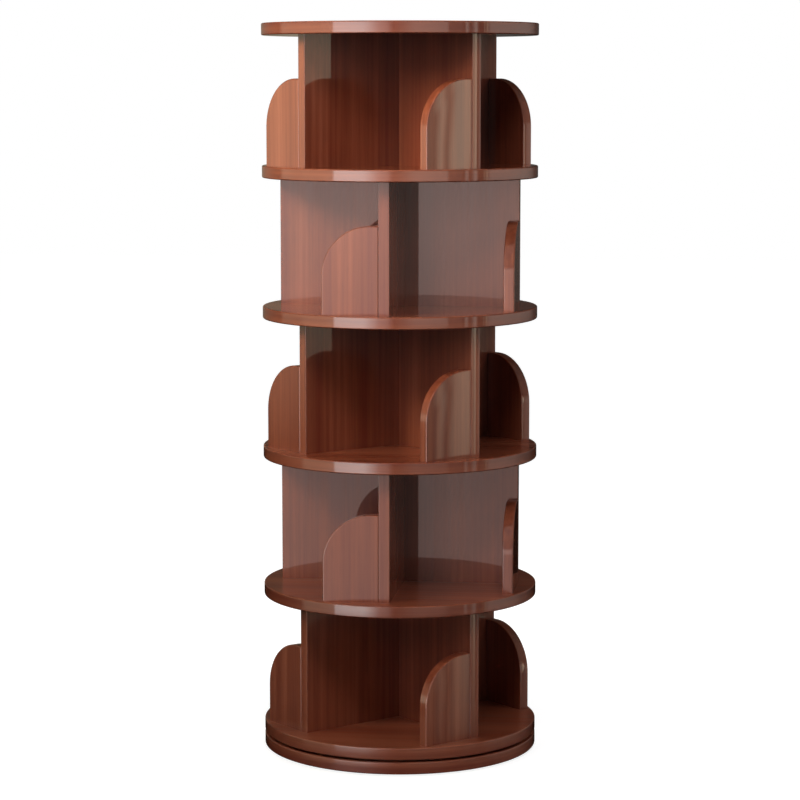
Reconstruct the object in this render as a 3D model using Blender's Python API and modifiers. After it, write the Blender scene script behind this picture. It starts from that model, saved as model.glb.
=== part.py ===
"""Revolving bookcase: five tiers of round shelves that turn as one tower on a low base.

Metres, +Z up. The origin is on the floor under the centre of the base, so Z is the axis that the
tower turns on. Tiers are numbered from the bottom. Even tiers have their dividers along X and Y,
and odd tiers are turned by half of that quarter.
"""
from math import acos, cos, pi, radians, sin, tau

import bmesh
import bpy
from mathutils import Matrix, Vector

# Round boards, all cut to one diameter: the base is flush with the tower above it
BOARD_DIAMETER = 0.460
BASE_THICKNESS = 0.020
SHELF_THICKNESS = 0.020
RIM_ROUND = 0.002

# Tiers: crossed dividers and the low stops at their ends
TIER_COUNT = 5
CLEAR_HEIGHT = 0.214
DIVIDER_THICKNESS = 0.018
DIVIDER_INSET = 0.029
STOP_THICKNESS = 0.018
STOP_WIDTH = 0.092
STOP_HEIGHT = 0.143
STOP_CORNER_RADIUS = 0.080
EDGE_ROUND = 0.001

# Turntable bearing between the base and the tower
RUNNING_GAP = 0.004
BALL_PITCH_DIAMETER = 0.260
BALL_DIAMETER = 0.006
BALL_COUNT = 8
RACE_WEB = 0.0012
RACE_SPACING = 0.0017
RACE_LIP = 0.008
RACE_MARGIN = 0.004
CAGE_MARGIN = 0.004
RECESS_CLEARANCE = 0.003

# Countersunk wood screws that hold the two races
SCREW_COUNT = 4
SCREW_LENGTH = 0.012
SCREW_SHANK_DIAMETER = 0.004
SCREW_HEAD_DIAMETER = 0.0076
SCREW_HEAD_HEIGHT = 0.0018
SCREW_POINT = 0.003

# Pads under the base
PAD_COUNT = 4
PAD_DIAMETER = 0.030
PAD_THICKNESS = 0.003
PAD_INSET = 0.020

# Clearance between pieces that seat on one another, and how far a cut runs past a face
SEAT_GAP = 0.0003
CUT_OVERSHOOT = 0.002

# Fineness of the round shapes
BOARD_SIDES = 64
RIM_STEPS = 2
RACE_SIDES = 72
GROOVE_STEPS = 4
CORNER_STEPS = 8
BALL_SIDES = 12
SMALL_SIDES = 12
SHARP_ANGLE = radians(30)
MERGE_DISTANCE = 0.00001

# Heights, worked up from the floor
base_bottom = PAD_THICKNESS + SEAT_GAP
base_top = base_bottom + BASE_THICKNESS
floor_bottom = base_top + RUNNING_GAP
floor_top = floor_bottom + SHELF_THICKNESS
tier_pitch = CLEAR_HEIGHT + SHELF_THICKNESS

# The bearing hangs from the underside of the floor board, sunk into the base
ball_radius = BALL_DIAMETER / 2
groove_radius = ball_radius + SEAT_GAP
pitch_radius = BALL_PITCH_DIAMETER / 2
race_depth = RACE_WEB + groove_radius
ball_height = floor_bottom - SEAT_GAP - race_depth
recess_floor = ball_height - race_depth - SEAT_GAP

# Across the races: a lip inside the groove, and a flange outside it that takes the screws
screw_room = SCREW_HEAD_DIAMETER / 2 + SEAT_GAP + RACE_MARGIN
screw_circle = pitch_radius + groove_radius + screw_room
race_outer = screw_circle + screw_room
race_inner = pitch_radius - groove_radius - RACE_LIP
cage_half_width = groove_radius + CAGE_MARGIN

# Boards of one tier
divider_reach = BOARD_DIAMETER / 2 - DIVIDER_INSET
divider_height = CLEAR_HEIGHT - 2 * SEAT_GAP


def remove_old_objects():
    for old in list(bpy.data.objects):
        bpy.data.objects.remove(old, do_unlink=True)


def new_collection(name):
    collection = bpy.data.collections.new(name)
    bpy.context.scene.collection.children.link(collection)
    return collection


def new_finish(name, colour, roughness, metallic=0.0):
    finish = bpy.data.materials.new(name)
    finish.use_nodes = True
    shader = finish.node_tree.nodes["Principled BSDF"]
    shader.inputs["Base Color"].default_value = (*colour, 1.0)
    shader.inputs["Roughness"].default_value = roughness
    shader.inputs["Metallic"].default_value = metallic
    return finish


def new_body(name, height=0.0):
    """An empty on the axis, which the pieces that move together hang from."""
    body = bpy.data.objects.new(name, None)
    parts.objects.link(body)
    body.location.z = height
    return body


def place(name, data, finish, body, location=(0, 0, 0), rotation=(0, 0, 0)):
    piece = bpy.data.objects.new(name, data)
    parts.objects.link(piece)
    if not data.materials:
        data.materials.append(finish)
    piece.parent = body
    piece.location = location
    piece.rotation_euler = rotation
    return piece


def place_cutter(name, data, location=(0, 0, 0), rotation=(0, 0, 0)):
    cutter = bpy.data.objects.new(name, data)
    cutters.objects.link(cutter)
    cutter.location = location
    cutter.rotation_euler = rotation
    cutter.hide_render = True
    cutter.display_type = "WIRE"
    return cutter


def on_circle(radius, angle, height):
    return Vector((radius * cos(angle), radius * sin(angle), height))


def mesh_from(bm, name):
    mesh = bpy.data.meshes.new(name)
    bm.to_mesh(mesh)
    bm.free()
    mesh.shade_smooth()
    mesh.set_sharp_from_angle(angle=SHARP_ANGLE)
    return mesh


def cylinder_mesh(name, diameter, height, sides):
    """An upright cylinder that stands on its own origin."""
    bm = bmesh.new()
    bmesh.ops.create_cone(
        bm,
        cap_ends=True,
        segments=sides,
        radius1=diameter / 2,
        radius2=diameter / 2,
        depth=height,
        matrix=Matrix.Translation((0, 0, height / 2)),
    )
    return mesh_from(bm, name)


def ball_mesh(name, diameter):
    bm = bmesh.new()
    bmesh.ops.create_uvsphere(
        bm, u_segments=BALL_SIDES, v_segments=BALL_SIDES // 2, radius=diameter / 2
    )
    return mesh_from(bm, name)


def profile_mesh(name, points, closed):
    """A turning profile of (radius, height) points that runs down its outer side."""
    bm = bmesh.new()
    corners = [bm.verts.new((radius, 0, height)) for radius, height in points]
    for start, end in zip(corners, corners[1:]):
        bm.edges.new((start, end))
    if closed:
        bm.edges.new((corners[-1], corners[0]))
    return mesh_from(bm, name)


def turn(piece, sides):
    screw = piece.modifiers.new("Turned", "SCREW")
    screw.axis = "Z"
    screw.angle = tau
    screw.steps = sides
    screw.render_steps = sides
    screw.use_merge_vertices = True
    screw.merge_threshold = MERGE_DISTANCE


def round_edges(piece, width, segments):
    bevel = piece.modifiers.new("Eased edges", "BEVEL")
    bevel.limit_method = "ANGLE"
    bevel.angle_limit = SHARP_ANGLE
    bevel.width = width
    bevel.segments = segments


def cut(piece, cutter):
    boolean = piece.modifiers.new("Cut by " + cutter.name, "BOOLEAN")
    boolean.operation = "DIFFERENCE"
    boolean.solver = "EXACT"
    boolean.object = cutter


def board_outline(name, points, thickness):
    """A flat board drawn by its outline and extruded to both sides."""
    outline = bpy.data.curves.new(name, "CURVE")
    outline.dimensions = "2D"
    outline.fill_mode = "BOTH"
    outline.extrude = thickness / 2
    spline = outline.splines.new("POLY")
    spline.points.add(len(points) - 1)
    for point, (x, y) in zip(spline.points, points):
        point.co = (x, y, 0, 1)
    spline.use_cyclic_u = True
    return outline


def ease_board(piece):
    """Close the flat board's caps onto its sides, then ease all its edges."""
    weld = piece.modifiers.new("Closed caps", "WELD")
    weld.merge_threshold = MERGE_DISTANCE
    round_edges(piece, EDGE_ROUND, segments=1)


def divider_points(slot_at_top):
    """A divider with a half-height slot, in which it crosses the other one of its tier."""
    half_slot = DIVIDER_THICKNESS / 2 + SEAT_GAP
    slot_end = (divider_height - SEAT_GAP) / 2
    points = [
        (-divider_reach, 0),
        (divider_reach, 0),
        (divider_reach, divider_height),
        (half_slot, divider_height),
        (half_slot, slot_end),
        (-half_slot, slot_end),
        (-half_slot, divider_height),
        (-divider_reach, divider_height),
    ]
    if slot_at_top:
        return points
    return [(x, divider_height - y) for x, y in points]


def stop_points():
    """A stop from the divider at x = 0 to its free end, whose upper corner is rounded."""
    radius = min(STOP_CORNER_RADIUS, STOP_WIDTH - 2 * EDGE_ROUND, STOP_HEIGHT - 2 * EDGE_ROUND)
    centre_x = STOP_WIDTH - radius
    centre_y = STOP_HEIGHT - radius
    corner = []
    for step in range(CORNER_STEPS + 1):
        angle = pi / 2 * step / CORNER_STEPS
        corner.append((centre_x + radius * cos(angle), centre_y + radius * sin(angle)))
    return [(0, 0), (STOP_WIDTH, 0), *corner, (0, STOP_HEIGHT)]


def race_points():
    """Section of the lower race, measured from the ball's centre, with its round groove."""
    face = -RACE_SPACING / 2
    half_angle = acos(-face / groove_radius)
    points = [
        (race_outer, face),
        (race_outer, -race_depth),
        (race_inner, -race_depth),
        (race_inner, face),
    ]
    for step in range(GROOVE_STEPS + 1):
        angle = half_angle * (2 * step / GROOVE_STEPS - 1)
        points.append((pitch_radius + groove_radius * sin(angle), -groove_radius * cos(angle)))
    return points


def cage_points():
    outer = pitch_radius + cage_half_width
    inner = pitch_radius - cage_half_width
    half_thickness = RACE_SPACING / 2 - SEAT_GAP
    return [
        (outer, half_thickness),
        (outer, -half_thickness),
        (inner, -half_thickness),
        (inner, half_thickness),
    ]


def screw_points():
    """Half section of a countersunk screw, from the top of its head down to its point."""
    return [
        (0, 0),
        (SCREW_HEAD_DIAMETER / 2, 0),
        (SCREW_SHANK_DIAMETER / 2, -SCREW_HEAD_HEIGHT),
        (SCREW_SHANK_DIAMETER / 2, SCREW_POINT - SCREW_LENGTH),
        (0, -SCREW_LENGTH),
    ]


def screw_hole_points():
    """The same section with clearance all round, carried up past the face of the race."""
    loose = [(radius + SEAT_GAP, height) for radius, height in screw_points()[1:-1]]
    loose[-1] = (loose[-1][0], loose[-1][1] - SEAT_GAP)
    mouth = loose[0][0]
    return [(0, CUT_OVERSHOOT), (mouth, CUT_OVERSHOOT), *loose, (0, -SCREW_LENGTH - SEAT_GAP)]


remove_old_objects()
parts = new_collection("revolving_bookcase")
cutters = new_collection("cutters")

veneer = new_finish("red_brown_lacquered_veneer", (0.282, 0.073, 0.033), 0.25)
zinc_steel = new_finish("zinc_plated_steel", (0.56, 0.57, 0.58), 0.35, metallic=1.0)
bearing_steel = new_finish("polished_bearing_steel", (0.62, 0.62, 0.63), 0.15, metallic=1.0)
cage_plastic = new_finish("black_cage_plastic", (0.02, 0.02, 0.021), 0.45)
pad_rubber = new_finish("black_pad_rubber", (0.015, 0.015, 0.015), 0.8)

# The base stands still, and the tower and the ball cage turn about Z
base_body = new_body("base")
tower_body = new_body("tower")
cage_body = new_body("cage", ball_height)

# Race screws, up from the lower race's face into the base and down from the upper one's
UPSIDE_DOWN = (pi, 0, 0)
hole_data = profile_mesh("screw_hole", screw_hole_points(), closed=False)
screw_data = profile_mesh("race_screw", screw_points(), closed=False)
head_drop = RACE_SPACING / 2 + SEAT_GAP
base_holes = []
floor_holes = []
for number in range(1, SCREW_COUNT + 1):
    screw_angle = tau * (number - 0.5) / SCREW_COUNT
    low = on_circle(screw_circle, screw_angle, ball_height - head_drop)
    high = on_circle(screw_circle, screw_angle, ball_height + head_drop)
    base_hole = place_cutter(f"base_screw_hole_{number}", hole_data, low)
    floor_hole = place_cutter(f"floor_screw_hole_{number}", hole_data, high, UPSIDE_DOWN)
    base_screw = place(f"base_screw_{number}", screw_data, zinc_steel, base_body, low)
    floor_screw = place(f"floor_screw_{number}", screw_data, zinc_steel, tower_body, high, UPSIDE_DOWN)
    for turned in (base_hole, floor_hole, base_screw, floor_screw):
        turn(turned, SMALL_SIDES)
    base_holes.append(base_hole)
    floor_holes.append(floor_hole)

# Pads, and the base board with a recess for the lower part of the bearing
pad_data = cylinder_mesh("foot_pad", PAD_DIAMETER, PAD_THICKNESS, SMALL_SIDES)
pad_circle = BOARD_DIAMETER / 2 - PAD_INSET - PAD_DIAMETER / 2
for number in range(1, PAD_COUNT + 1):
    pad_angle = tau * (number - 0.5) / PAD_COUNT
    place(f"foot_pad_{number}", pad_data, pad_rubber, base_body, on_circle(pad_circle, pad_angle, 0))

base_data = cylinder_mesh("base_board", BOARD_DIAMETER, BASE_THICKNESS, BOARD_SIDES)
base_board = place("base_board", base_data, veneer, base_body, (0, 0, base_bottom))
round_edges(base_board, RIM_ROUND, RIM_STEPS)
recess_diameter = 2 * (race_outer + RECESS_CLEARANCE)
recess_height = base_top - recess_floor + CUT_OVERSHOOT
recess_data = cylinder_mesh("bearing_recess", recess_diameter, recess_height, BOARD_SIDES)
cut(base_board, place_cutter("bearing_recess", recess_data, (0, 0, recess_floor)))
for hole in base_holes:
    cut(base_board, hole)

# Bearing: two grooved races with a ring of caged balls between them
race_data = profile_mesh("race", race_points(), closed=True)
lower_race = place("lower_race", race_data, zinc_steel, base_body, (0, 0, ball_height))
upper_race = place("upper_race", race_data, zinc_steel, tower_body, (0, 0, ball_height), UPSIDE_DOWN)
for race, holes in ((lower_race, base_holes), (upper_race, floor_holes)):
    turn(race, RACE_SIDES)
    for hole in holes:
        cut(race, hole)

cage_data = profile_mesh("ball_cage", cage_points(), closed=True)
ball_cage = place("ball_cage", cage_data, cage_plastic, cage_body)
turn(ball_cage, RACE_SIDES)
ball_data = ball_mesh("bearing_ball", BALL_DIAMETER)
pocket_data = cylinder_mesh("ball_pocket", 2 * groove_radius, 2 * BALL_DIAMETER, SMALL_SIDES)
for number in range(1, BALL_COUNT + 1):
    ball_angle = tau * number / BALL_COUNT
    ball_place = on_circle(pitch_radius, ball_angle, 0)
    place(f"bearing_ball_{number}", ball_data, bearing_steel, cage_body, ball_place)
    pocket_place = on_circle(pitch_radius, ball_angle, ball_height - BALL_DIAMETER)
    cut(ball_cage, place_cutter(f"ball_pocket_{number}", pocket_data, pocket_place))

# Round boards of the tower, from the floor board up to the top board
shelf_data = cylinder_mesh("round_board", BOARD_DIAMETER, SHELF_THICKNESS, BOARD_SIDES)
board_names = [f"shelf_board_{number}" for number in range(1, TIER_COUNT)]
board_names = ["floor_board", *board_names, "top_board"]
for level, name in enumerate(board_names):
    board = place(name, shelf_data, veneer, tower_body, (0, 0, floor_bottom + level * tier_pitch))
    round_edges(board, RIM_ROUND, RIM_STEPS)
    if name == "floor_board":
        for hole in floor_holes:
            cut(board, hole)

# Tiers: two crossed dividers, and at each divider end a stop that is flush with it
QUARTER = pi / 2
lower_data = board_outline("divider_lower", divider_points(slot_at_top=True), DIVIDER_THICKNESS)
upper_data = board_outline("divider_upper", divider_points(slot_at_top=False), DIVIDER_THICKNESS)
stop_data = board_outline("stop", stop_points(), STOP_THICKNESS)
stop_distance = divider_reach - STOP_THICKNESS / 2
stop_beside = DIVIDER_THICKNESS / 2 + SEAT_GAP
for tier in range(1, TIER_COUNT + 1):
    stand = floor_top + (tier - 1) * tier_pitch + SEAT_GAP
    tier_angle = QUARTER / 2 * (tier % 2)
    for half, data, turned_by in (("lower", lower_data, 0), ("upper", upper_data, QUARTER)):
        upright = (QUARTER, 0, tier_angle + turned_by)
        divider = place(f"tier_{tier}_divider_{half}", data, veneer, tower_body, (0, 0, stand), upright)
        ease_board(divider)
    for number in range(1, 5):
        outward = tier_angle + (number - 1) * QUARTER
        sideways = outward - QUARTER
        corner = on_circle(stop_distance, outward, stand) + on_circle(stop_beside, sideways, 0)
        upright = (QUARTER, 0, sideways)
        stop = place(f"tier_{tier}_stop_{number}", stop_data, veneer, tower_body, corner, upright)
        ease_board(stop)
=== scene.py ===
"""Revolving bookcase: the finish of every piece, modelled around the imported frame.

Metres, +Z up, in the frame's own axes. The tower turns on Z. The file goes from the floor up, piece by
piece, as the bookcase is put together, and ends with the stage, the camera and the light.
"""
from math import atan2, cos, pi, radians, sin, tau

import bmesh
import bpy
from mathutils import Matrix, Vector


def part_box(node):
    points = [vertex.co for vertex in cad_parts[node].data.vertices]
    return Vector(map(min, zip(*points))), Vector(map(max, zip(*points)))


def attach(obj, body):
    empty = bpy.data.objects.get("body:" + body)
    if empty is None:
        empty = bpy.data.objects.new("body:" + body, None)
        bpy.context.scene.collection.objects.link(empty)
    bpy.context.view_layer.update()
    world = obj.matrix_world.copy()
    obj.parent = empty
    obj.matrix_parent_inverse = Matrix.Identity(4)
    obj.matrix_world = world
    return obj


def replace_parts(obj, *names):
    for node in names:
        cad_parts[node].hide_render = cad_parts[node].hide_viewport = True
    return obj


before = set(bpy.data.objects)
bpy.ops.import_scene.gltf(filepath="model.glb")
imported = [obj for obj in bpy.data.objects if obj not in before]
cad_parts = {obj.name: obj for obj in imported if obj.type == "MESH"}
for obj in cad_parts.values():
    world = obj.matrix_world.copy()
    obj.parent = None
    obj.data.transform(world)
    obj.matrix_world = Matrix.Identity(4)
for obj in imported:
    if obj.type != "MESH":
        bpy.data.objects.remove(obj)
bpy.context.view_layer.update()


# Foot pads
# Four thin rubber discs stuck under the base board. Moulded, with a rounded rim and a shallow ring
# pressed into the tread, and only their edges show in the shadow under the base.
PADS = 4
PAD_SIDES = 64
PAD_EDGE = 0.0006
PAD_EDGE_SEGMENTS = 3
PAD_RING_INSET = 0.004
PAD_RING_WIDTH = 0.002
PAD_RING_DEPTH = 0.0005
SHARP_ANGLE = radians(40)


def linear(hex_colour):
    """An sRGB hex colour as the linear colour that a shader takes."""
    values = [int(hex_colour[start:start + 2], 16) / 255 for start in (1, 3, 5)]
    return [v / 12.92 if v <= 0.04045 else ((v + 0.055) / 1.055) ** 2.4 for v in values] + [1.0]


def add_node(tree, kind, settings=None, inputs=None):
    """Add a node with its settings. Each of its inputs is a value, or an output to link from."""
    node = tree.nodes.new(kind)
    for name, value in (settings or {}).items():
        setattr(node, name, value)
    for name, value in (inputs or {}).items():
        if isinstance(value, bpy.types.NodeSocket):
            tree.links.new(value, node.inputs[name])
        else:
            node.inputs[name].default_value = value
    return node


def new_material(name):
    material = bpy.data.materials.new(name)
    material.use_nodes = True
    return material, material.node_tree, material.node_tree.nodes["Principled BSDF"]


def moulded_rubber():
    """Black rubber, moulded: a dull dark skin with a fine mottle that breaks up its faint sheen."""
    MOTTLE = 0.0012
    material, tree, shader = new_material("moulded_black_rubber")
    place = add_node(tree, "ShaderNodeTexCoord")
    mottle = add_node(
        tree,
        "ShaderNodeTexNoise",
        inputs={"Vector": place.outputs["Object"], "Scale": 1 / MOTTLE, "Detail": 3.0},
    )
    tone = add_node(
        tree,
        "ShaderNodeMix",
        {"data_type": "RGBA"},
        {"Factor": mottle.outputs["Fac"], "A": linear("#161616"), "B": linear("#262524")},
    )
    bump = add_node(
        tree,
        "ShaderNodeBump",
        inputs={"Height": mottle.outputs["Fac"], "Strength": 0.3, "Distance": 0.0002},
    )
    tree.links.new(tone.outputs["Result"], shader.inputs["Base Color"])
    tree.links.new(bump.outputs["Normal"], shader.inputs["Normal"])
    shader.inputs["Roughness"].default_value = 0.75
    shader.inputs["IOR"].default_value = 1.5
    return material


def disc_mesh(middle, radius, height, sides):
    """A plain disc round an upright line through its middle."""
    bm = bmesh.new()
    bmesh.ops.create_cone(
        bm,
        cap_ends=True,
        segments=sides,
        radius1=radius,
        radius2=radius,
        depth=height,
        matrix=Matrix.Translation(middle),
    )
    return bm


def sharp_edges(bm):
    return [edge for edge in bm.edges if edge.is_manifold and edge.calc_face_angle() > SHARP_ANGLE]


def round_edges(bm, edges, radius, segments):
    bmesh.ops.bevel(
        bm,
        geom=edges,
        offset=radius,
        offset_type="OFFSET",
        affect="EDGES",
        segments=segments,
        profile=0.5,
        material=-1,
        clamp_overlap=True,
    )


def press_in(bm, faces, travel):
    """Press faces along Z, with walls round them. Returns the points that were moved."""
    pressed = bmesh.ops.extrude_face_region(bm, geom=faces)["geom"]
    bmesh.ops.delete(bm, geom=faces, context="FACES_ONLY")
    moved = [part for part in pressed if isinstance(part, bmesh.types.BMVert)]
    bmesh.ops.translate(bm, verts=moved, vec=(0, 0, travel))
    return moved


def finish_piece(bm, name, material, body):
    """Make the piece from its mesh, shade it, give it its material, and fix it to its body under its own
    name.
    """
    for edge in sharp_edges(bm):
        edge.smooth = False
    mesh = bpy.data.meshes.new(name)
    bm.to_mesh(mesh)
    bm.free()
    mesh.shade_smooth()
    mesh.materials.append(material)
    piece = bpy.data.objects.new(name, mesh)
    bpy.context.scene.collection.objects.link(piece)
    flatten = piece.modifiers.new("Flat faces shaded flat", "WEIGHTED_NORMAL")
    flatten.keep_sharp = True
    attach(piece, body)
    return piece


rubber = moulded_rubber()
for number in range(1, PADS + 1):
    node = f"foot_pad_{number}"
    low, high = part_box(node)
    pad = disc_mesh((low + high) / 2, (high.x - low.x) / 2, high.z - low.z, PAD_SIDES)
    round_edges(pad, sharp_edges(pad), PAD_EDGE, PAD_EDGE_SEGMENTS)
    tread = min(pad.faces, key=lambda face: face.calc_center_median().z)
    bmesh.ops.inset_region(pad, faces=[tread], thickness=PAD_RING_INSET)
    ring = bmesh.ops.inset_region(pad, faces=[tread], thickness=PAD_RING_WIDTH)["faces"]
    press_in(pad, ring, PAD_RING_DEPTH)
    bmesh.ops.recalc_face_normals(pad, faces=pad.faces)
    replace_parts(finish_piece(pad, f"pad_{number}", rubber, "base"), node)


# Base board
# The low round board that stands still. It is fibreboard under red-brown veneer, with a band of the same
# veneer round its rim and a turned recess in its top, where the lower half of the bearing sits.
RIM_STEPS = 256
RIM_RADIUS = 0.002
RIM_SEGMENTS = 4
RIM_FACING = 0.5
RECESS_CLEARANCE = 0.003
RECESS_DEPTH_CLEARANCE = 0.0003
BOARD_SHIFT = Vector((0.371, 0.113, 1.730))
MERGE_DISTANCE = 0.00001
SHORTEST_EDGE = 0.000001


def lacquered_veneer():
    """Straight-grained sapele veneer, stained red-brown and sprayed with gloss lacquer.

    The eye gets three sizes of figure, all drawn out along the grain: wide ribbons that go from light to
    dark, narrow streaks, and short dark pores. The pores are drawn about twice as wide as real ones, or
    they would not show at this distance. A clear coat mirrors the room above the duller wood.
    """
    RIBBON_WIDTH, RIBBON_LENGTH, RIBBON_DETAIL = 0.042, 1.2, 1.0
    STREAK_WIDTH, STREAK_LENGTH, STREAK_DETAIL = 0.0075, 0.40, 4.0
    PORE_WIDTH, PORE_LENGTH, PORE_DETAIL = 0.0018, 0.035, 1.0
    STREAK_SHARE = 0.5
    STAIN_TONES = ((0.36, "#692E1F"), (0.47, "#753A27"), (0.55, "#7F412C"), (0.66, "#8B4D37"))
    PORE_TONE = "#4A1D12"
    PORE_START, PORE_FULL, PORE_DARKNESS = 0.54, 0.72, 0.16
    STREAK_LOW, STREAK_HIGH = 0.3, 0.7
    LEAST_ROUGHNESS, MOST_ROUGHNESS = 0.30, 0.42
    material, tree, shader = new_material("sapele_veneer_gloss_lacquer")
    grain = add_node(tree, "ShaderNodeAttribute", {"attribute_name": "grain"})
    figures = []
    for width, length, detail in (
        (RIBBON_WIDTH, RIBBON_LENGTH, RIBBON_DETAIL),
        (STREAK_WIDTH, STREAK_LENGTH, STREAK_DETAIL),
        (PORE_WIDTH, PORE_LENGTH, PORE_DETAIL),
    ):
        drawn_out = add_node(
            tree,
            "ShaderNodeMapping",
            inputs={"Vector": grain.outputs["Vector"], "Scale": (1 / width, 1 / width, 1 / length)},
        )
        figure = add_node(
            tree,
            "ShaderNodeTexNoise",
            inputs={"Vector": drawn_out.outputs["Vector"], "Scale": 1.0, "Detail": detail},
        )
        figures.append(figure.outputs["Fac"])
    ribbon, streak, pore = figures
    light_and_dark = add_node(
        tree,
        "ShaderNodeMix",
        {"data_type": "FLOAT"},
        {"Factor": STREAK_SHARE, "A": ribbon, "B": streak},
    )
    stain = add_node(tree, "ShaderNodeValToRGB", inputs={"Fac": light_and_dark.outputs["Result"]})
    while len(stain.color_ramp.elements) < len(STAIN_TONES):
        stain.color_ramp.elements.new(0.5)
    for mark, (position, tone) in zip(stain.color_ramp.elements, STAIN_TONES):
        mark.position = position
        mark.color = linear(tone)
    pore_depth = add_node(
        tree,
        "ShaderNodeMapRange",
        inputs={
            "Value": pore,
            "From Min": PORE_START,
            "From Max": PORE_FULL,
            "To Min": 0.0,
            "To Max": PORE_DARKNESS,
        },
    )
    wood = add_node(
        tree,
        "ShaderNodeMix",
        {"data_type": "RGBA"},
        {
            "Factor": pore_depth.outputs["Result"],
            "A": stain.outputs["Color"],
            "B": linear(PORE_TONE),
        },
    )
    dullness = add_node(
        tree,
        "ShaderNodeMapRange",
        inputs={
            "Value": streak,
            "From Min": STREAK_LOW,
            "From Max": STREAK_HIGH,
            "To Min": LEAST_ROUGHNESS,
            "To Max": MOST_ROUGHNESS,
        },
    )
    bump = add_node(
        tree,
        "ShaderNodeBump",
        inputs={"Height": pore, "Strength": 0.08, "Distance": 0.0002},
    )
    tree.links.new(wood.outputs["Result"], shader.inputs["Base Color"])
    tree.links.new(dullness.outputs["Result"], shader.inputs["Roughness"])
    tree.links.new(bump.outputs["Normal"], shader.inputs["Normal"])
    shader.inputs["IOR"].default_value = 1.5
    shader.inputs["Specular IOR Level"].default_value = 0.3
    shader.inputs["Coat Weight"].default_value = 1.0
    shader.inputs["Coat IOR"].default_value = 1.5
    shader.inputs["Coat Roughness"].default_value = 0.02
    return material


def lay_round_veneer(bm, board_number):
    """Veneer a round board: straight grain along X on its faces, and a band that runs round its rim.

    Each board's number shifts it to another stretch of the veneer.
    """
    grain = bm.loops.layers.float_vector.new("grain")
    shift = BOARD_SHIFT * board_number
    for face in bm.faces:
        on_rim = abs(face.normal.z) < RIM_FACING
        middle = face.calc_center_median()
        bearing = atan2(middle.x, -middle.y)
        for loop in face.loops:
            point = loop.vert.co
            if on_rim:
                turned = Matrix.Rotation(-bearing, 3, "Z") @ point
                along = point.xy.length * (bearing + atan2(turned.x, -turned.y))
                loop[grain] = shift + Vector((point.z, point.xy.length, along))
            else:
                loop[grain] = shift + Vector((point.y, point.z, point.x))


def turn_profile(profile, steps):
    """Turn a half section of (radius, height) corners round Z, and merge what meets on the axis."""
    bm = bmesh.new()
    corners = [bm.verts.new((radius, 0, height)) for radius, height in profile]
    lines = [bm.edges.new(pair) for pair in zip(corners, corners[1:])]
    bmesh.ops.spin(
        bm,
        geom=corners + lines,
        cent=(0, 0, 0),
        axis=(0, 0, 1),
        angle=tau,
        steps=steps,
        use_merge=True,
    )
    bmesh.ops.remove_doubles(bm, verts=bm.verts, dist=MERGE_DISTANCE)
    return bm


veneer = lacquered_veneer()
low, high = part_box("base_board")
board_radius = (high.x - low.x) / 2
race_low, race_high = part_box("lower_race")
recess_radius = race_high.x + RECESS_CLEARANCE
recess_floor = race_low.z - RECESS_DEPTH_CLEARANCE
base_profile = [
    (0, recess_floor),
    (recess_radius, recess_floor),
    (recess_radius, high.z),
    (board_radius, high.z),
    (board_radius, low.z),
    (0, low.z),
]
base = turn_profile(base_profile, RIM_STEPS)
bmesh.ops.dissolve_degenerate(base, edges=base.edges, dist=SHORTEST_EDGE)
bmesh.ops.recalc_face_normals(base, faces=base.faces)
outer_corners = [
    edge
    for edge in sharp_edges(base)
    if all(vert.co.xy.length > board_radius - RIM_RADIUS for vert in edge.verts)
]
round_edges(base, outer_corners, RIM_RADIUS, RIM_SEGMENTS)
lay_round_veneer(base, 0)
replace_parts(finish_piece(base, "base", veneer, "base"), "base_board")


# Turntable bearing
# Two pressed and zinc-plated steel rings, screwed to the base and to the tower, with steel balls between
# them in a plastic cage. All of it is sunk in the base, so only a thin shadow line shows from outside.
BALLS = 8
BALL_STEPS = 32


def zinc_plate():
    """Bright zinc on pressed steel: a cool grey metal with the faint spangle that plating leaves."""
    SPANGLE = 0.004
    material, tree, shader = new_material("zinc_plated_pressed_steel")
    place = add_node(tree, "ShaderNodeTexCoord")
    spangle = add_node(
        tree,
        "ShaderNodeTexNoise",
        inputs={"Vector": place.outputs["Object"], "Scale": 1 / SPANGLE, "Detail": 2.0},
    )
    tone = add_node(
        tree,
        "ShaderNodeMix",
        {"data_type": "RGBA"},
        {"Factor": spangle.outputs["Fac"], "A": linear("#B3B6B8"), "B": linear("#D2D4D5")},
    )
    dullness = add_node(
        tree,
        "ShaderNodeMapRange",
        inputs={"Value": spangle.outputs["Fac"], "To Min": 0.25, "To Max": 0.45},
    )
    tree.links.new(tone.outputs["Result"], shader.inputs["Base Color"])
    tree.links.new(dullness.outputs["Result"], shader.inputs["Roughness"])
    shader.inputs["Metallic"].default_value = 1.0
    return material


def polished_bearing_steel():
    """Ground and polished chrome steel: a near mirror with the faint haze of an oil film."""
    FILM = 0.002
    material, tree, shader = new_material("polished_bearing_steel")
    place = add_node(tree, "ShaderNodeTexCoord")
    film = add_node(
        tree,
        "ShaderNodeTexNoise",
        inputs={"Vector": place.outputs["Object"], "Scale": 1 / FILM, "Detail": 2.0},
    )
    dullness = add_node(
        tree,
        "ShaderNodeMapRange",
        inputs={"Value": film.outputs["Fac"], "To Min": 0.06, "To Max": 0.20},
    )
    tree.links.new(dullness.outputs["Result"], shader.inputs["Roughness"])
    shader.inputs["Base Color"].default_value = linear("#C9C9CB")
    shader.inputs["Metallic"].default_value = 1.0
    return material


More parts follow.
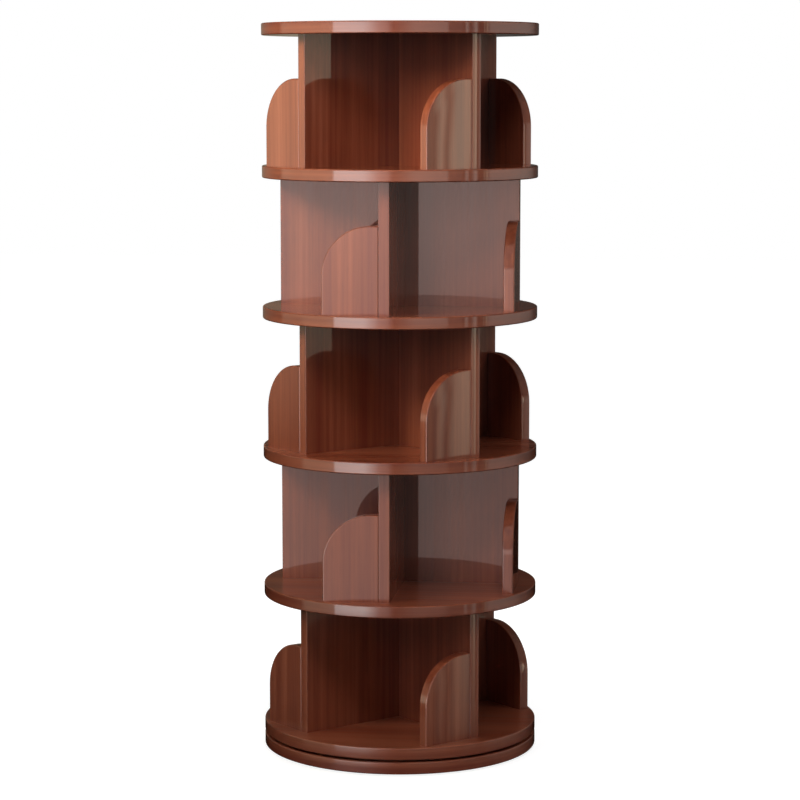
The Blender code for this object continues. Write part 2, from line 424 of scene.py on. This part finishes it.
def moulded_nylon():
    """Black nylon, injection moulded: an even satin black with a fine spark-eroded texture."""
    TEXTURE = 0.0008
    material, tree, shader = new_material("moulded_black_nylon")
    place = add_node(tree, "ShaderNodeTexCoord")
    texture = add_node(
        tree,
        "ShaderNodeTexNoise",
        inputs={"Vector": place.outputs["Object"], "Scale": 1 / TEXTURE, "Detail": 2.0},
    )
    tone = add_node(
        tree,
        "ShaderNodeMix",
        {"data_type": "RGBA"},
        {"Factor": texture.outputs["Fac"], "A": linear("#1B1B1C"), "B": linear("#2A2A2B")},
    )
    bump = add_node(
        tree,
        "ShaderNodeBump",
        inputs={"Height": texture.outputs["Fac"], "Strength": 0.2, "Distance": 0.0001},
    )
    tree.links.new(tone.outputs["Result"], shader.inputs["Base Color"])
    tree.links.new(bump.outputs["Normal"], shader.inputs["Normal"])
    shader.inputs["Roughness"].default_value = 0.5
    shader.inputs["IOR"].default_value = 1.53
    return material


zinc = zinc_plate()
nylon = moulded_nylon()
for node, material in (("lower_race", zinc), ("upper_race", zinc), ("ball_cage", nylon)):
    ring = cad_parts[node]
    ring.data.materials.clear()
    ring.data.materials.append(material)

ball_steel = polished_bearing_steel()
for number in range(1, BALLS + 1):
    node = f"bearing_ball_{number}"
    low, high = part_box(node)
    ball = bmesh.new()
    bmesh.ops.create_uvsphere(
        ball,
        u_segments=BALL_STEPS,
        v_segments=BALL_STEPS // 2,
        radius=(high.z - low.z) / 2,
        matrix=Matrix.Translation((low + high) / 2),
    )
    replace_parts(finish_piece(ball, f"ball_{number}", ball_steel, "cage"), node)


# Race screws
# Countersunk steel wood screws with a cross recess, four through each ring into the board behind it.
# They are zinc plated like the rings, and their heads sit flush in the countersinks.
RING_SCREWS = 4
HEAD_STEPS = 48
HEAD_HEIGHT = 0.0018
SHANK_RADIUS = 0.002
POINT_LENGTH = 0.003
CROSS_ARM = 0.0021
CROSS_HALF_WIDTH = 0.0005
CROSS_DEPTH = 0.0012
CROSS_TAPER = 0.6


def screw_mesh(radius, length):
    """A screw that points down from a head whose face is at the origin, with its cross pressed in."""
    profile = [
        (radius, 0),
        (SHANK_RADIUS, -HEAD_HEIGHT),
        (SHANK_RADIUS, POINT_LENGTH - length),
        (0, -length),
    ]
    bm = turn_profile(profile, HEAD_STEPS)
    head_rim = [edge for edge in bm.edges if all(vert.co.z == 0 for vert in edge.verts)]
    cross = []
    for quarter in range(4):
        turn = Matrix.Rotation(quarter * pi / 2, 3, "Z")
        for corner in (
            (CROSS_HALF_WIDTH, CROSS_HALF_WIDTH, 0),
            (CROSS_ARM, CROSS_HALF_WIDTH, 0),
            (CROSS_ARM, -CROSS_HALF_WIDTH, 0),
        ):
            cross.append(turn @ Vector(corner))
    cross.sort(key=lambda point: atan2(point.y, point.x))
    recess = bm.faces.new([bm.verts.new(point) for point in cross])
    bmesh.ops.bridge_loops(bm, edges=head_rim + list(recess.edges))
    recess_floor_points = press_in(bm, [recess], -CROSS_DEPTH)
    bmesh.ops.scale(bm, verts=recess_floor_points, vec=(CROSS_TAPER, CROSS_TAPER, 1))
    bmesh.ops.recalc_face_normals(bm, faces=bm.faces)
    return bm


for board, body, pointing in (("base", "base", 0), ("floor", "tower", pi)):
    for number in range(1, RING_SCREWS + 1):
        node = f"{board}_screw_{number}"
        low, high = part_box(node)
        middle = (low + high) / 2
        face_height = low.z if pointing else high.z
        screw = screw_mesh((high.x - low.x) / 2, high.z - low.z)
        place = Matrix.Translation((middle.x, middle.y, face_height)) @ Matrix.Rotation(pointing, 4, "X")
        bmesh.ops.transform(screw, matrix=place, verts=screw.verts)
        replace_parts(finish_piece(screw, f"{board}_race_screw_{number}", zinc, body), node)


# Round boards of the tower
# The floor board, four shelves and the top are the same 20 mm veneered discs as the base, without its
# recess. Their rims are banded, and both arrises are eased to a 2 mm radius that catches the light.
TIERS = 5

shelf_nodes = ["floor_board", *[f"shelf_board_{number}" for number in range(1, TIERS)], "top_board"]
for level, node in enumerate(shelf_nodes, start=1):
    low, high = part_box(node)
    board = disc_mesh((0, 0, (low.z + high.z) / 2), board_radius, high.z - low.z, RIM_STEPS)
    round_edges(board, sharp_edges(board), RIM_RADIUS, RIM_SEGMENTS)
    lay_round_veneer(board, level)
    piece = finish_piece(board, node.replace("_board", "") + "_disc", veneer, "tower")
    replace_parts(piece, node)


# Dividers
# Two 18 mm veneered boards cross in each tier, halved over one another at the axis like an egg crate, and
# let a little into the round boards below and above. Their grain runs upright, and each tier is turned by
# an eighth of a circle against the next one.
UPRIGHT_EDGE = 0.001
EDGE_SEGMENTS = 3
HALVING_OVERLAP = 0.0003
SEATING = 0.002
ODD_TIER_TURN = pi / 4
UPRIGHT_SHIFT = Vector((0.293, 0.171, 0.618))
TIER_NUMBERS = 10


def board_from_outline(outline, thickness):
    """An upright board from its (across, height) corners, centred on its thickness along Y."""
    bm = bmesh.new()
    front = bm.faces.new([bm.verts.new((across, -thickness / 2, height)) for across, height in outline])
    pushed = bmesh.ops.extrude_face_region(bm, geom=[front])["geom"]
    back = [part for part in pushed if isinstance(part, bmesh.types.BMVert)]
    bmesh.ops.translate(bm, verts=back, vec=(0, thickness, 0))
    bmesh.ops.recalc_face_normals(bm, faces=bm.faces)
    return bm


def lay_upright_veneer(bm, board_number):
    """Veneer an upright board: the grain goes up its faces and ends, and along a band on other edges.

    Each board's number shifts it to another stretch of the veneer.
    """
    grain = bm.loops.layers.float_vector.new("grain")
    shift = UPRIGHT_SHIFT * board_number
    for face in bm.faces:
        facing = [abs(part) for part in face.normal]
        for loop in face.loops:
            across, through, height = loop.vert.co
            if facing[1] >= max(facing[0], facing[2]):
                laid = Vector((across, through, height))
            else:
                laid = Vector((through, across, height - across))
            loop[grain] = shift + laid


def stand_upright(bm, angle, stand, out=0.0):
    """Turn an upright board about the axis, and move it out and up to its place."""
    place = Matrix.Translation((0, 0, stand)) @ Matrix.Rotation(angle, 4, "Z")
    bmesh.ops.transform(bm, matrix=place @ Matrix.Translation((0, -out, 0)), verts=bm.verts)


tier_angles = [ODD_TIER_TURN * (tier % 2) for tier in range(1, TIERS + 1)]
low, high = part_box("tier_2_divider_lower")
reach = high.x
divider_thickness = high.y - low.y
divider_height = high.z - low.z + 2 * SEATING
half_slot = divider_thickness / 2 - HALVING_OVERLAP
slot_end = (divider_height + HALVING_OVERLAP) / 2
lower_outline = [
    (-reach, 0),
    (reach, 0),
    (reach, divider_height),
    (half_slot, divider_height),
    (half_slot, slot_end),
    (-half_slot, slot_end),
    (-half_slot, divider_height),
    (-reach, divider_height),
]
upper_outline = [(across, divider_height - height) for across, height in lower_outline]
for tier, tier_angle in enumerate(tier_angles, start=1):
    for half, outline, turned in (("lower", lower_outline, 0), ("upper", upper_outline, pi / 2)):
        node = f"tier_{tier}_divider_{half}"
        divider = board_from_outline(outline, divider_thickness)
        end_edges = [
            edge
            for edge in sharp_edges(divider)
            if all(abs(vert.co.x) == reach for vert in edge.verts)
            and edge.verts[0].co.y == edge.verts[1].co.y
        ]
        round_edges(divider, end_edges, UPRIGHT_EDGE, EDGE_SEGMENTS)
        lay_upright_veneer(divider, TIER_NUMBERS * tier + (half == "upper"))
        stand_upright(divider, tier_angle + turned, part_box(node)[0].z - SEATING)
        piece = finish_piece(divider, f"tier_{tier}_{half}_divider", veneer, "tower")
        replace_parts(piece, node)


# Stops
# Four low boards in each tier, one beside the end of each divider arm and flush with it, keep the books
# in. Each is 18 mm veneered board whose upper free corner is sawn to a large round and edge-banded.
TIER_STOPS = 4
CORNER_RADIUS = 0.080
CORNER_SEGMENTS = 32
STOP_SEATING = 0.0007
STOP_EDGE = 0.002
FIRST_STOP_NUMBER = 3

low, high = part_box("tier_2_stop_1")
stop_thickness = high.x - low.x
stop_height = high.z - low.z + SEATING
stop_inner = -high.y - STOP_SEATING
stop_outer = -low.y
stop_distance = (low.x + high.x) / 2
stop_outline = [
    (-stop_outer, 0),
    (-stop_inner, 0),
    (-stop_inner, stop_height),
    (-stop_outer, stop_height),
]
for tier, tier_angle in enumerate(tier_angles, start=1):
    for arm in range(TIER_STOPS):
        node = f"tier_{tier}_stop_{arm + 1}"
        stop = board_from_outline(stop_outline, stop_thickness)
        corners = [edge for edge in stop.edges if edge.verts[0].co.xz == edge.verts[1].co.xz]
        free_corner = max(corners, key=lambda edge: edge.verts[0].co.z - edge.verts[0].co.x)
        round_edges(stop, [free_corner], CORNER_RADIUS, CORNER_SEGMENTS)
        free_edges = [
            edge
            for edge in sharp_edges(stop)
            if not all(vert.co.z == 0 for vert in edge.verts)
            and not all(vert.co.x == -stop_inner for vert in edge.verts)
        ]
        round_edges(stop, free_edges, STOP_EDGE, RIM_SEGMENTS)
        lay_upright_veneer(stop, TIER_NUMBERS * tier + FIRST_STOP_NUMBER + arm)
        outward = tier_angle + arm * pi / 2
        stand_upright(stop, outward + pi / 2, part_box(node)[0].z - SEATING, stop_distance)
        piece = finish_piece(stop, f"tier_{tier}_book_stop_{arm + 1}", veneer, "tower")
        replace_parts(piece, node)


# Stage
# A plain pale floor. It shows white to the camera, but its glow is painted darker towards the base as
# painted shade, and the lamps' real soft shadow under the base shows on top of that.
FLOOR_HALF_WIDTH = 12.0
FLOOR_SQUARES = 8
# Painted shade: within the inner reach the floor's glow is at its dimmest, and it fades back to full white
# by the outer reach.
PAINTED_SHADE_INNER = 0.25
PAINTED_SHADE_OUTER = 0.90
NEAR_GLOW = 0.84
FAR_GLOW = 1.0


def pale_floor():
    """Matt pale floor: white to the eye far off, its glow painted darker towards the base as painted shade,
    with a real soft shadow from the lamps and a pale bounce for everything else.
    """
    material, tree, _ = new_material("matt_pale_floor")
    tree.nodes.clear()
    rays = add_node(tree, "ShaderNodeLightPath")
    bounce = add_node(tree, "ShaderNodeBsdfDiffuse", inputs={"Color": linear("#E0E0E0")})
    place = add_node(tree, "ShaderNodeTexCoord")
    distance = add_node(tree, "ShaderNodeVectorMath", {"operation": "LENGTH"}, {0: place.outputs["Object"]})
    # Painted shade: the glow that the camera sees falls from full white far off to a dimmer grey near the
    # base.
    glow_with_painted_shade = add_node(
        tree,
        "ShaderNodeMapRange",
        {"interpolation_type": "SMOOTHSTEP"},
        {
            "Value": distance.outputs["Value"],
            "From Min": PAINTED_SHADE_INNER,
            "From Max": PAINTED_SHADE_OUTER,
            "To Min": NEAR_GLOW,
            "To Max": FAR_GLOW,
        },
    )
    glow = add_node(
        tree,
        "ShaderNodeEmission",
        inputs={"Color": linear("#FFFFFF"), "Strength": glow_with_painted_shade.outputs["Result"]},
    )
    shadow = add_node(tree, "ShaderNodeBsdfDiffuse", inputs={"Color": linear("#A0A0A0")})
    seen = add_node(tree, "ShaderNodeAddShader", inputs={0: glow.outputs[0], 1: shadow.outputs[0]})
    chosen = add_node(
        tree,
        "ShaderNodeMixShader",
        inputs={0: rays.outputs["Is Camera Ray"], 1: bounce.outputs[0], 2: seen.outputs[0]},
    )
    add_node(tree, "ShaderNodeOutputMaterial", inputs={"Surface": chosen.outputs[0]})
    return material


sheet = bmesh.new()
bmesh.ops.create_grid(sheet, x_segments=FLOOR_SQUARES, y_segments=FLOOR_SQUARES, size=FLOOR_HALF_WIDTH)
floor_mesh = bpy.data.meshes.new("floor")
sheet.to_mesh(floor_mesh)
sheet.free()
floor_mesh.materials.append(pale_floor())
floor = bpy.data.objects.new("floor", floor_mesh)
bpy.context.scene.collection.objects.link(floor)
floor.visible_glossy = False


# Camera
# A little below the top board and turned a little to the right of the even tiers' front divider.
# It is tilted down, so that the picture needs no shift.
CAMERA_BEARING = radians(7.4)
CAMERA_DISTANCE = 4.370
CAMERA_HEIGHT = 1.129
CAMERA_TILT = radians(7.047)
FOCAL_PIXELS = 2612.9
PICTURE_PIXELS = 800
SENSOR_WIDTH = 36.0


def around(bearing, distance, height):
    """A point round the bookcase. Bearings run from the camera's side to its right, in degrees."""
    turned = radians(bearing) + CAMERA_BEARING
    return Vector((distance * sin(turned), -distance * cos(turned), height))


camera_data = bpy.data.cameras.new("camera")
camera_data.sensor_width = SENSOR_WIDTH
camera_data.lens = FOCAL_PIXELS / PICTURE_PIXELS * SENSOR_WIDTH
camera = bpy.data.objects.new("camera", camera_data)
bpy.context.scene.collection.objects.link(camera)
camera.location = around(0, CAMERA_DISTANCE, CAMERA_HEIGHT)
camera.rotation_euler = (pi / 2 - CAMERA_TILT, 0, CAMERA_BEARING)
bpy.context.scene.camera = camera


# Lamps
# A warm key softbox high on the left falls mostly on the top tiers. Others fill in from the front, the
# right and behind. Only their light shows, because the lacquer mirrors the room instead.
def softbox(name, place, aim, size, power, spread=180, tint="#FFFFFF"):
    """A square lamp aimed at a height on the axis. The camera and the lacquer do not see it."""
    lamp = bpy.data.lights.new(name, "AREA")
    lamp.shape = "SQUARE"
    lamp.size = size
    lamp.energy = power
    lamp.spread = radians(spread)
    lamp.color = linear(tint)[:3]
    box = bpy.data.objects.new(name, lamp)
    bpy.context.scene.collection.objects.link(box)
    box.location = place
    box.rotation_euler = (Vector((0, 0, aim)) - place).to_track_quat("-Z", "Y").to_euler()
    box.visible_camera = False
    box.visible_glossy = False


softbox("key", around(-60, 1.6, 2.0), aim=1.15, size=0.9, power=8.0, spread=60, tint="#FFFADC")
softbox("left_front", around(-30, 2.2, 1.6), aim=0.8, size=1.2, power=2.35, spread=60)
softbox("high_front", around(5, 2.2, 3.0), aim=0.5, size=0.9, power=4.5, spread=60)
softbox("right_side", around(60, 2.0, 1.7), aim=0.9, size=1.0, power=9.5)
softbox("left_back", around(-165, 2.2, 1.6), aim=0.6, size=1.2, power=10.0)
softbox("right_back", around(165, 2.2, 1.6), aim=0.6, size=1.2, power=10.0)


# Room
# What the lacquer mirrors: a dim room under a dimmer ceiling, with a bright window on the left and a blind
# on the right. Each row has a bearing as the lamps do, and how bright the wall is there against the window,
# on its upper and on its lower part. Heights are the Z of a direction, from -1 for down to 1 for up.
LEFT_WALL = (
    (-118, 0.04, 0.00),
    (-112, 0.20, 0.00),
    (-92, 0.23, 0.02),
    (-86, 0.28, 0.16),
    (-57, 0.30, 0.20),
)
WINDOW = (
    (-55.5, 0.96, 0.72),
    (-30, 1.00, 0.88),
)
CURTAIN = (
    (-17, 0.53, 0.27),
    (-11, 0.43, 0.23),
    (-5, 0.08, 0.02),
)
FRONT_WALL = (
    (5, 0.20, 0.06),
    (12, 0.32, 0.10),
    (39, 0.30, 0.08),
    (40.5, 0.10, 0.04),
    (52, 0.10, 0.04),
)
POSTS = (
    (54, 0.02, 0.02),
    (56.3, 0.36, 0.18),
    (59.3, 0.02, 0.02),
    (62, 0.12, 0.08),
    (65, 0.38, 0.20),
    (67.5, 0.02, 0.02),
)
BLIND_START = (72.5, 0.02, 0.02)
SLATS = (
    (72.8, 0.02, 0.02),
    (73.05, 0.26, 0.04),
    (73.75, 0.26, 0.04),
    (74, 0.02, 0.02),
    (75.77, 0.18, 0.06),
    (75.9, 0.10, 0.02),
    (76.08, 0.50, 0.22),
    (76.25, 0.10, 0.02),
    (76.43, 0.50, 0.22),
    (76.92, 0.52, 0.30),
    (76.97, 0.02, 0.02),
    (77.3, 0.02, 0.02),
)
BLIND_END = (77.5, 0.12, 0.07)
RIGHT_WALL = (
    (80, 0.24, 0.14),
    (100, 0.18, 0.10),
    (125, 0.10, 0.02),
    (150, 0.01, 0.00),
)
CREAM = "#FFEDCF"
DAYLIGHT = "#FBF9F7"
PINK = "#FFE2DA"
PALE = "#FFF4E8"
WALLS = (
    (LEFT_WALL, CREAM),
    (WINDOW, DAYLIGHT),
    (CURTAIN, PINK),
    ((*FRONT_WALL, *POSTS, BLIND_START, BLIND_END, *RIGHT_WALL), PALE),
)
BLIND = (
    ((BLIND_START,), PALE),
    (SLATS, CREAM),
    ((BLIND_END,), PALE),
)
WINDOW_BRIGHTNESS = 6.2
UPPER_PART = -0.06
LOWER_PART = -0.14
FOOT_START = -0.20
FOOT_END = -0.26
CEILING_START = 0.04
CEILING_END = 0.14
CEILING_SHARE = 0.22
AMBIENT = 0.01


def mirrored_band(tree, bearing, upper_share, parts):
    """The colours of some parts of the room, from the first bearing in their rows to the last one."""
    rows = [(*row, linear(tint)) for part, tint in parts for row in part]
    bearings, upper_part, lower_part, tints = zip(*rows)
    start, end = bearings[0], bearings[-1]
    along = add_node(
        tree,
        "ShaderNodeMapRange",
        inputs={"Value": bearing, "From Min": radians(start), "From Max": radians(end)},
    )
    colours = []
    for shares in (upper_part, lower_part):
        wall = add_node(tree, "ShaderNodeValToRGB", inputs={"Fac": along.outputs["Result"]})
        while len(wall.color_ramp.elements) < len(rows):
            wall.color_ramp.elements.new(0.5)
        for mark, place, share, tint in zip(wall.color_ramp.elements, bearings, shares, tints):
            mark.position = (place - start) / (end - start)
            mark.color = [share * value for value in tint[:3]] + [1.0]
        colours.append(wall.outputs["Color"])
    upper_colour, lower_colour = colours
    band = add_node(
        tree,
        "ShaderNodeMix",
        {"data_type": "RGBA"},
        {"Factor": upper_share, "A": lower_colour, "B": upper_colour},
    )
    return band.outputs["Result"]


def mirrored_room():
    """A world that is white to the camera, the room to what mirrors it, and a faint light to all else."""
    world = bpy.data.worlds.new("studio")
    world.use_nodes = True
    tree = world.node_tree
    tree.nodes.clear()
    direction = add_node(tree, "ShaderNodeTexCoord")
    faced = add_node(
        tree,
        "ShaderNodeMapping",
        inputs={"Vector": direction.outputs["Generated"], "Rotation": (0, 0, -CAMERA_BEARING)},
    )
    axes = add_node(tree, "ShaderNodeSeparateXYZ", inputs={"Vector": faced.outputs["Vector"]})
    height = axes.outputs["Z"]
    to_front = add_node(tree, "ShaderNodeMath", {"operation": "MULTIPLY"}, {0: axes.outputs["Y"], 1: -1.0})
    bearing = add_node(
        tree,
        "ShaderNodeMath",
        {"operation": "ARCTAN2"},
        {0: axes.outputs["X"], 1: to_front.outputs[0]},
    ).outputs[0]
    upper_share = add_node(
        tree,
        "ShaderNodeMapRange",
        inputs={"Value": height, "From Min": LOWER_PART, "From Max": UPPER_PART},
    ).outputs["Result"]
    blind_start, blind_end = radians(BLIND_START[0]), radians(BLIND_END[0])
    at_blind = add_node(
        tree,
        "ShaderNodeMath",
        {"operation": "COMPARE"},
        {0: bearing, 1: (blind_start + blind_end) / 2, 2: (blind_end - blind_start) / 2},
    )
    room = add_node(
        tree,
        "ShaderNodeMix",
        {"data_type": "RGBA"},
        {
            "Factor": at_blind.outputs[0],
            "A": mirrored_band(tree, bearing, upper_share, WALLS),
            "B": mirrored_band(tree, bearing, upper_share, BLIND),
        },
    )
    above_foot = add_node(
        tree,
        "ShaderNodeMapRange",
        inputs={
            "Value": height,
            "From Min": FOOT_END,
            "From Max": FOOT_START,
            "To Max": WINDOW_BRIGHTNESS,
        },
    )
    below_ceiling = add_node(
        tree,
        "ShaderNodeMapRange",
        inputs={
            "Value": height,
            "From Min": CEILING_START,
            "From Max": CEILING_END,
            "To Min": 1.0,
            "To Max": CEILING_SHARE,
        },
    )
    brightness = add_node(
        tree,
        "ShaderNodeMath",
        {"operation": "MULTIPLY"},
        {0: above_foot.outputs["Result"], 1: below_ceiling.outputs["Result"]},
    )
    mirrored = add_node(
        tree,
        "ShaderNodeBackground",
        inputs={"Color": room.outputs["Result"], "Strength": brightness.outputs[0]},
    )
    ambient = add_node(
        tree,
        "ShaderNodeBackground",
        inputs={"Color": linear("#FFFFFF"), "Strength": AMBIENT},
    )
    white = add_node(
        tree,
        "ShaderNodeBackground",
        inputs={"Color": linear("#FFFFFF"), "Strength": 1.0},
    )
    rays = add_node(tree, "ShaderNodeLightPath")
    unseen = add_node(
        tree,
        "ShaderNodeMixShader",
        inputs={0: rays.outputs["Is Glossy Ray"], 1: ambient.outputs[0], 2: mirrored.outputs[0]},
    )
    shown = add_node(
        tree,
        "ShaderNodeMixShader",
        inputs={0: rays.outputs["Is Camera Ray"], 1: unseen.outputs[0], 2: white.outputs[0]},
    )
    add_node(tree, "ShaderNodeOutputWorld", inputs={"Surface": shown.outputs[0]})
    return world


bpy.context.scene.world = mirrored_room()
bpy.context.scene.view_settings.view_transform = "Standard"
